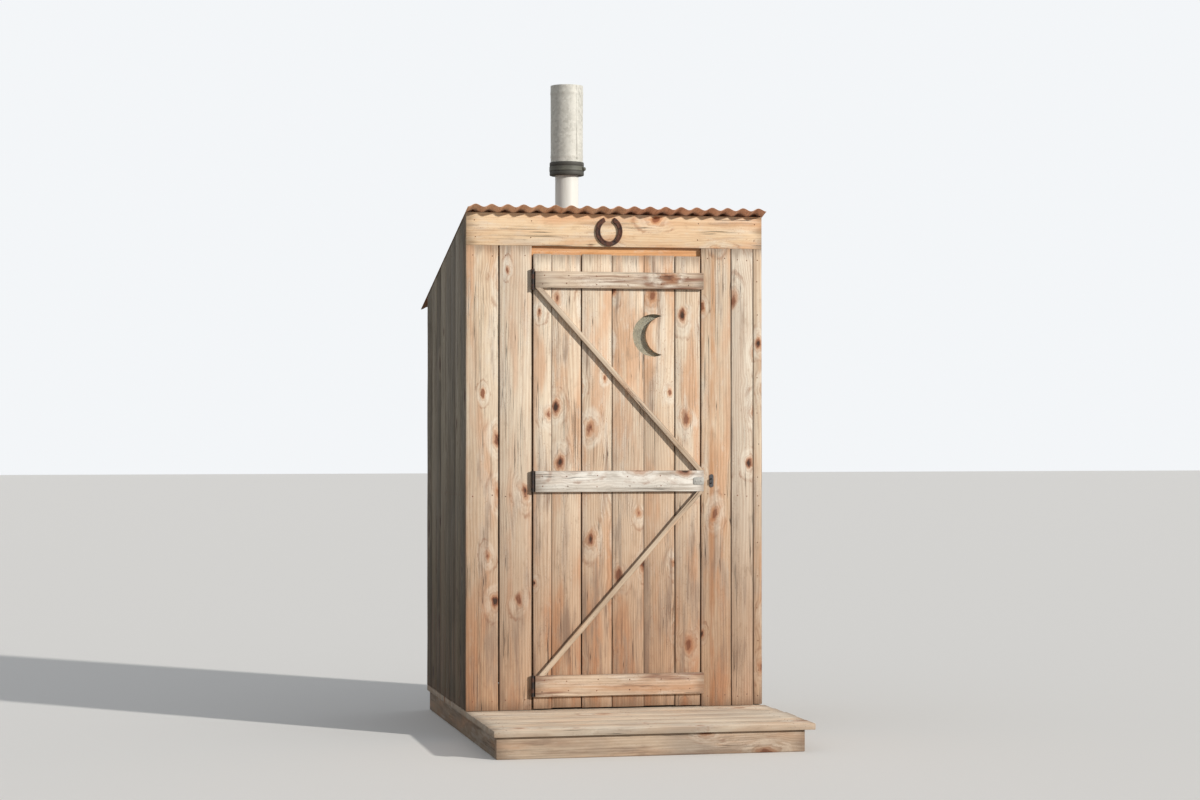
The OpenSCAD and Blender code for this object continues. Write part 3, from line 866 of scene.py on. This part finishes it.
door_joints = [leaf_low.x, -0.277, -0.149, -0.017, 0.121, 0.256, leaf_high.x]
door_gaps = [0, 0.0015, 0.005, 0.003, 0.0015, 0.0045, 0]
door_boards = []
for i, shade in enumerate((0.3, 0.3, 0.4, 0.5, 0.75, 0.25)):
    first, last = door_joints[i], door_joints[i + 1]
    start = (first + door_gaps[i] / 2, leaf_low.y, leaf_low.z + draws.uniform(0, RAGGED))
    end = (last - door_gaps[i + 1] / 2, leaf_high.y, leaf_high.z - draws.uniform(0, RAGGED))
    cutters = []
    if first < moon_middle.x + MOON_R and last > moon_middle.x - MOON_R:
        cutters = [cut_out(disc(MOON_R, 0, 0.08), [disc(MOON_IN_R, MOON_SHIFT, 0.12)])]
    door_boards.append(board(start, end, shade=shade, cutters=cutters))
piece("door_boards", door_boards, door_wood, ["door_leaf"], "door")

# %% Wire screen behind the crescent
WIRE = 0.001
MESH = 0.0022
wires = []
wide = moon_high.x - moon_low.x
for i in range(int(wide / MESH)):
    off = (i + 0.5) * MESH - wide / 2
    # One upright wire, and one level wire just behind it.
    for angle, layer, right, up in ((0, 0.5, off, 0), (math.pi / 2, 0.9, 0, off)):
        spot = (moon_middle.x + right, moon_low.y + WIRE * layer, moon_middle.z + up)
        wires.append(lay(rod(6, WIRE / 2, wide), spot, rotation(angle, "Y")))
piece("wire_screen", wires, screen_finish, ["moon_screen"], "door")

# %% [markdown]
# The battens are sawn from better stock than the door boards and have bleached,
# the middle one most of all. The braces run from corner to corner between them
# and are cut level at both ends, so a lying board is made too long, turned to the
# diagonal, and trimmed by two level planes.

# %% Battens
one_board("batten_top", batten_wood, "batten_wood", "door", shade=0.3)
one_board("batten_middle", grey_batten, "batten_wood", "door", shade=0.35)
one_board("batten_bottom", batten_wood, "batten_wood", "door", shade=0.62)

# %% Braces
BRACE = 0.022
for node, way, shade in (("brace_upper", 1, 0.1), ("brace_lower", -1, 1.0)):
    low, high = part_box(node)
    tall, wide = high.z - low.z, high.x - low.x
    run = wide
    for again in range(2):
        # The level cut takes its share of the width, which changes the slope.
        run = wide - BRACE / math.sin(math.atan2(tall, run))
    along = Vector((run * way, 0, -tall)).normalized()
    turn = axes(along, Vector((0, -1, 0)).cross(along))
    size = (math.hypot(run, tall) + 4 * BRACE, BRACE, high.y - low.y)
    bm = laid_board(size, (low + high) / 2, turn, shade)
    saw(bm, low, (0, 0, -1))
    saw(bm, high, (0, 0, 1))
    piece(node + "_wood", [bm], brace_wood, [node], "door")

# %% [markdown]
# The roof sheets keep their exact waves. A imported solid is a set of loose
# triangles, so a copy is welded and its flat facets are shaded smooth, which
# turns twelve facets a wave into one flowing curve. Nails with wide dished heads
# hold the sheets on every second crest.

# %% Roof sheets
for side, finish in (("left", left_sheet), ("right", right_sheet_painted_shade)):
    node = "roof_sheet_" + side
    bm = bmesh.new()
    bm.from_mesh(frame["nodes"][node].data)
    bmesh.ops.remove_doubles(bm, verts=bm.verts, dist=1e-5)
    bmesh.ops.dissolve_limit(bm, angle_limit=math.radians(0.5), verts=bm.verts, edges=bm.edges)
    piece("roof_waves_" + side, [bm], finish, [node], crease=40)

# %% Roof nails
sheet_low, sheet_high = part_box("roof_sheet_left")
wave = (sheet_high.x - sheet_low.x) / 10
CREST = 0.0138
CRESTS = 19
CLEAR_OF_PIPE = 0.08


def ball(radius, squash, around, rings):
    """A sphere pressed flatter along some directions."""
    bm = bmesh.new()
    bmesh.ops.create_uvsphere(bm, u_segments=around, v_segments=rings, radius=radius)
    bmesh.ops.scale(bm, vec=squash, verts=bm.verts)
    return bm


def facing(way):
    """The rotation that takes upright to a direction."""
    return Vector(way).to_track_quat("Z", "Y").to_matrix()


def dished_head(x, y):
    spot = Vector((x, y, roof_at(y))) + roof_normal * CREST
    return lay(ball(0.009, (1, 1, 0.38), 10, 6), spot, facing(roof_normal))


rows = (face_y + 0.012, (face_y + back_high.y) / 2, back_high.y - 0.035)
spots = [(sheet_low.x + (i + 0.5) * wave, y) for y in rows for i in range(0, CRESTS, 2)]
spots = [spot for spot in spots if math.dist(spot, pipe_middle.xy) > CLEAR_OF_PIPE]
piece("roof_nails", [dished_head(*spot) for spot in spots], nail_finish)

# %% [markdown]
# Everything on the vent is round, so it is turned: a profile of a few points is
# spun once round the pipe's centre line. The sleeve gets a bead near each end, a
# folded seam and small dents, the rubber coupling rounded lips, and the steel band
# the housing of its worm screw.

# %% Turned pipe
def turned(profile, steps=72):
    """Spins a closed profile of (radius, height) points round the pipe."""
    bm = bmesh.new()
    ring = [bm.verts.new((pipe_middle.x + r, pipe_middle.y, z)) for r, z in profile]
    edges = [bm.edges.new((a, b)) for a, b in zip(ring, ring[1:] + ring[:1])]
    bmesh.ops.spin(bm, geom=ring + edges, cent=(*pipe_middle.xy, 0), axis=(0, 0, 1),
                   angle=math.tau, steps=steps, use_merge=True)
    bmesh.ops.remove_doubles(bm, verts=bm.verts, dist=1e-6)
    bmesh.ops.recalc_face_normals(bm, faces=bm.faces)
    return bm


bore_r = pipe_r - 0.003
LIP = 0.0008
pipe_profile = [
    (pipe_r - LIP, pipe_low.z), (pipe_r, pipe_low.z + LIP),
    (pipe_r, pipe_high.z - LIP), (pipe_r - LIP, pipe_high.z),
    (bore_r + LIP, pipe_high.z), (bore_r, pipe_high.z - LIP),
    (bore_r, pipe_low.z + LIP), (bore_r + LIP, pipe_low.z),
]
piece("white_vent_pipe", [turned(pipe_profile)], pipe_finish, ["vent_pipe"])

# %% Zinc sleeve
sleeve_low, sleeve_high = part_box("vent_sleeve")
sleeve_r = (sleeve_high.x - sleeve_low.x) / 2
sleeve_tall = sleeve_high.z - sleeve_low.z
SHEET = 0.001
BEAD = 0.0012
BEAD_REACH = 0.007
DENT = 0.0012
outer = []
for h in even(0, sleeve_tall, 64):
    near = min(abs(h - bead) for bead in (0.055, sleeve_tall - 0.035))
    swell = BEAD * max(0, 1 - (near / BEAD_REACH) ** 2)
    outer.append((sleeve_r + swell, sleeve_low.z + h))
# The profile goes up the outside of the wall and down its inside.
sleeve = turned(outer + [(r - SHEET, z) for r, z in reversed(outer)], 96)
for v in sleeve.verts:
    # The wall goes in and out a little above the coupling.
    way = Vector((*(v.co.xy - pipe_middle.xy), 0)).normalized()
    swell = noise.noise(Vector((way.x * 1.3, way.y * 1.3, v.co.z * 9)))
    free = min(1, max(0, (v.co.z - sleeve_low.z - 0.05) / 0.1))
    v.co += way * swell * DENT * free
seam_tall = sleeve_tall - 0.045
seam = block((0.0016, 0.007, seam_tall), 0.0005)
lay(seam, (sleeve_r + 0.0006, 0, sleeve_high.z - seam_tall / 2 - 0.004))
lay(seam, (*pipe_middle.xy, 0), rotation(math.radians(-62), "Z"))
piece("zinc_sleeve", [sleeve, seam], zinc_finish, ["vent_sleeve"])

# %% Rubber coupling
cuff_low, cuff_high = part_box("vent_coupling")
cuff_r = (cuff_high.x - cuff_low.x) / 2
band_low, band_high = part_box("coupling_band")
band_r = (band_high.x - band_low.x) / 2
foot, top = cuff_low.z, cuff_high.z
GRIP = 0.026
LEDGE = 0.005
SOFT = 0.003
GROOVE = 0.0012
grip_r = pipe_r + 0.0003
socket_r = sleeve_r + 0.0003
groove_r = cuff_r - GROOVE
cuff_profile = [
    (grip_r, foot), (cuff_r - SOFT * 1.6, foot), (cuff_r - SOFT * 0.4, foot + SOFT * 0.4),
    (cuff_r, foot + SOFT * 1.6), (cuff_r, band_low.z - 0.004), (groove_r, band_low.z - 0.002),
    (groove_r, band_high.z + 0.002), (cuff_r, band_high.z + 0.004), (cuff_r, top - SOFT * 1.6),
    (cuff_r - SOFT * 0.3, top - SOFT * 0.4), (cuff_r - SOFT, top), (socket_r, top),
    (socket_r, foot + GRIP + LEDGE), (bore_r, foot + GRIP + LEDGE),
    (bore_r, foot + GRIP), (grip_r, foot + GRIP),
]
cuff = turned(cuff_profile)
piece("rubber_coupling", [cuff], rubber_finish, ["vent_coupling"])

# %% Clamp band
inner_r = band_r - 0.0012
flat_r = band_r - 0.0004
band_profile = [
    (inner_r, band_low.z), (flat_r, band_low.z), (band_r, band_low.z + 0.001),
    (flat_r, band_low.z + 0.004), (flat_r, band_high.z - 0.004),
    (band_r, band_high.z - 0.001), (flat_r, band_high.z), (inner_r, band_high.z),
]
housing = lay(block((0.010, 0.020, 0.014), 0.003), (band_r + 0.004, 0, 0))
saddle = lay(block((0.002, 0.034, 0.016), 0.0006), (band_r + 0.0006, 0, 0))
screw = lay(rod(6, 0.0045, 0.006), (band_r + 0.0045, -0.0125, 0), rotation(math.pi / 2, "X"))
worm_spot = (*pipe_middle.xy, (band_low.z + band_high.z) / 2)
worm = [lay(bm, worm_spot, rotation(math.radians(-28), "Z")) for bm in (housing, saddle, screw)]
piece("clamp_band", [turned(band_profile)] + worm, band_finish, ["coupling_band"])

# %% [markdown]
# The horseshoe is bent iron. Every point of a flat grid is moved onto the bend,
# the middle rows a little lower, which makes the crease that holds the nails. Then
# the strip gets its thickness, and its edges are rounded.

# %% Horseshoe
shoe_low, shoe_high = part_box("horseshoe")
IRON = 0.020
SHOE_TALL = 0.126
SHOE_MOUTH = 0.044
CREASE = 0.0022
half_wide, half_tall = (shoe_high.x - shoe_low.x) / 2, SHOE_TALL / 2
shoe_thick = shoe_high.y - shoe_low.y


def on_shoe(angle, inward, lift):
    """A point of the bend, so far in from its rim and so far off the header."""
    return Vector(((shoe_low.x + shoe_high.x) / 2 + (half_wide - inward) * math.sin(angle),
                   shoe_high.y - lift,
                   shoe_low.z + half_tall + (half_tall - inward) * math.cos(angle)))


start = math.asin(SHOE_MOUTH / 2 / half_wide)
shoe = bmesh.new()
bmesh.ops.create_grid(shoe, x_segments=56, y_segments=8, size=0.5)
for v in shoe.verts:
    s, t = v.co.x + 0.5, v.co.y + 0.5
    pressed = 0.35 < t < 0.65 and 0.1 < s < 0.9 and not 0.44 < s < 0.56
    angle = start + (math.tau - 2 * start) * s
    v.co = on_shoe(angle, IRON * t, shoe_thick - (CREASE if pressed else 0))
back = bmesh.ops.extrude_face_region(shoe, geom=shoe.faces[:])
for g in back["geom"]:
    if isinstance(g, bmesh.types.BMVert):
        g.co.y = shoe_high.y
bmesh.ops.recalc_face_normals(shoe, faces=shoe.faces)
soften(shoe, sharp_edges(shoe), 0.0022)
parts = [shoe]
for angle in map(math.radians, (75, 105, 132, 228, 255, 285)):
    head = block((0.0045, 0.003, 0.0065), 0.0008, segments=1)
    lay(head, on_shoe(angle, IRON / 2, shoe_thick - 0.0012), rotation(angle, "Y"))
    parts.append(head)
piece("iron_horseshoe", parts, iron_finish, ["horseshoe"])

# %% [markdown]
# The latch is a galvanised strap on the middle batten, a thin plate with round
# corners and two screws, and a dark keeper on the front board. The keeper and the
# hinges have the right shape already, so they only get an iron finish.

# %% Latch and hinges
strap_low, strap_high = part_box("latch_strap")
strap_middle = (strap_low + strap_high) / 2
SCREW_R = 0.0042


def screw_head(x, tilt):
    """A domed screw with a slot sawn across it."""
    slot = block((SCREW_R * 3, SCREW_R * 0.35, SCREW_R * 0.28))
    lay(slot, (0, -SCREW_R * 0.4, 0), rotation(tilt, "Y"))
    dome = cut_out(ball(SCREW_R, (1, 0.4, 1), 12, 8), [slot])
    return lay(dome, (x, strap_low.y + 0.0002, strap_middle.z))


size = strap_high - strap_low
plate = block(size)
corners = [e for e in plate.edges if abs(e.verts[0].co.y - e.verts[1].co.y) > size.y / 2]
soften(plate, corners, 0.007, segments=5)
soften(plate, sharp_edges(plate), 0.0005)
parts = [lay(plate, strap_middle), screw_head(strap_low.x + 0.010, 0.5),
         screw_head(strap_high.x - 0.012, -0.8)]
piece("zinc_latch_strap", parts, strap_finish, ["latch_strap"], "door")
for name, node in frame["nodes"].items():
    if name.startswith("hinge_") or name == "latch_keeper":
        iron = keeper_finish if name == "latch_keeper" else hinge_finish
        node.data.materials.clear()
        node.data.materials.append(iron.owner)

# %% [markdown]
# Nails tell how a thing is built: two go across each board wherever a frame member
# lies behind it. Each head is a short cone with eight sides, because there are
# hundreds.

# %% A nail and where nails go
NAIL_R = 0.0032
INSET = 0.028
FRONT, BACK, UP = (0, -1, 0), (0, 1, 0), (0, 0, 1)


def nail(spot, out):
    return lay(rod(8, NAIL_R, 0.0016, tip=NAIL_R * 0.6), spot, facing(out))


def pairs(joints):
    """Two nail places across each board, or one on a narrow board."""
    places = []
    for first, last in zip(joints, joints[1:]):
        if last - first < 2.4 * INSET:
            places.append((first + last) / 2)
        else:
            places += [first + INSET, last - INSET]
    return places


def shaky(value, by=0.006):
    """A place that a hand with a hammer has missed a little."""
    return value + draws.uniform(-by, by)


def middle_of(node):
    low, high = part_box(node)
    return (low + high) / 2


# %% Nails of the walls
rail_z = middle_of("mid_rail_left").z
spots = [
    (x, shaky(z))
    for x in pairs(left_joints) + pairs(right_joints)
    for z in (face_low.z - 0.045, rail_z, floor_z + 0.045)
]
strip_x = (right_joints[2] + right_joints[3]) / 2
spots += [(shaky(strip_x), shaky(floor_z + 0.14 * i, 0.012)) for i in range(1, 14)]
header_rows = (face_low.z + 0.035, face_low.z + 0.105)
spots += [(shaky(x), z) for x in (-0.60, -0.36, 0.36, 0.605) for z in header_rows]
front_nails = [nail((x, face_y, z), FRONT) for x, z in spots]
side_nails = [
    nail((side * face_high.x, y, shaky(z)), (side, 0, 0))
    for side in (-1, 1)
    for y in pairs(side_joints)
    for z in (roof_at(y) - 0.05, rail_z, floor_z + 0.04)
]
back_nails = [
    nail((x, back_high.y, shaky(z)), BACK)
    for x in pairs(back_joints)
    for z in (back_high.z - 0.055, floor_z + 0.04)
]
piece("wall_nails", front_nails + side_nails + back_nails, nail_finish)

# %% Nails of the step and the door
step_nails = [
    nail((shaky(middle_of(skid).x), y, floor_z), UP)
    for skid in ("skid_left", "skid_middle", "skid_right")
    for y in pairs(step_joints)
]
piece("step_nails", step_nails, nail_finish)
door_nails = []
for node in ("batten_top", "batten_middle", "batten_bottom"):
    low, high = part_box(node)
    quarter = (high.z - low.z) / 4
    # The strap covers the right end of the middle batten, so no nail shows there.
    for i in range(5 if node == "batten_middle" else 6):
        x = (door_joints[i] + door_joints[i + 1]) / 2
        for up in (quarter, 3 * quarter):
            door_nails.append(nail((shaky(x), low.y, shaky(low.z + up, 0.003)), FRONT))
piece("door_nails", door_nails, nail_finish, body="door")

# %% [markdown]
# The stage is a plain pale floor under an even sky. A low, soft sun stands to the
# right in front of the house, as in the photograph, so the left wall falls into
# shade and each batten throws a thin shadow. The floor and the sky look white to
# the camera through Light Path, without more light on the house.

# %% Floor and sky
bm = bmesh.new()
bmesh.ops.create_grid(bm, x_segments=8, y_segments=8, size=60)
stage_floor = as_object("stage_floor", bm)
stage_floor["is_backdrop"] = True
pale = Finish("stage_floor")
seen = pale.node("ShaderNodeLightPath", out="Is Camera Ray")
pale.colour = pale.mix(seen, (0.30, 0.285, 0.26), (0.80, 0.79, 0.77))
stage_floor.data.materials.append(pale.wear(Roughness=0.9).owner)

sky = Net(bpy.data.worlds.new("studio"))
scene.world = sky.owner
light, shown = [
    sky.node("ShaderNodeBackground", None, {"Color": colour, "Strength": strength})
    for colour, strength in (((0.93, 0.96, 1.0), 0.42), ((0.90, 0.92, 0.94), 1.0))
]
gloss = sky.node("ShaderNodeLightPath", out="Is Glossy Ray")
seen = sky.node("ShaderNodeLightPath", out="Is Camera Ray").most(gloss)
choice = sky.node("ShaderNodeMixShader", None, {0: seen, 1: light, 2: shown})
sky.plug(sky.tree.nodes["World Output"].inputs["Surface"], choice)


# %% Sun
def aimed(name, data, spot, way):
    """A lamp or camera at a spot, looking along a direction."""
    made = bpy.data.objects.new(name, data)
    made.rotation_mode = "QUATERNION"
    made.location = spot
    made.rotation_quaternion = Vector(way).to_track_quat("-Z", "Y")
    scene.collection.objects.link(made)
    return made


lamp = bpy.data.lights.new("low_sun", "SUN")
lamp.energy = 3.3
lamp.color = (1.0, 0.96, 0.90)
lamp.angle = math.radians(2)
aimed("low_sun", lamp, (0, 0, 0), (-0.66, 0.66, -0.36))
print("stage ready")

# %% [markdown]
# The camera stands where the photograph was taken: ten and a half metres in front
# of the door, over two metres to the left of the middle, at chest height. It is
# turned to the house and zoomed in, which keeps the photograph's perspective.

# %% Camera
EYE = Vector((-2.3, face_y - 10.465, floor_z + 1.187))
AIM = Vector((0.0, -0.25, 1.42))
eye = bpy.data.cameras.new("photo_camera")
eye.lens = 76
eye.sensor_width = 36
eye.clip_end = 200
scene.camera = aimed("photo_camera", eye, EYE, AIM - EYE)
scene.view_settings.view_transform = "Standard"
print("camera at", metres(EYE))

# %% Measure the dressed house
low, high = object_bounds()
print("dressed house from", metres(low), "to", metres(high))
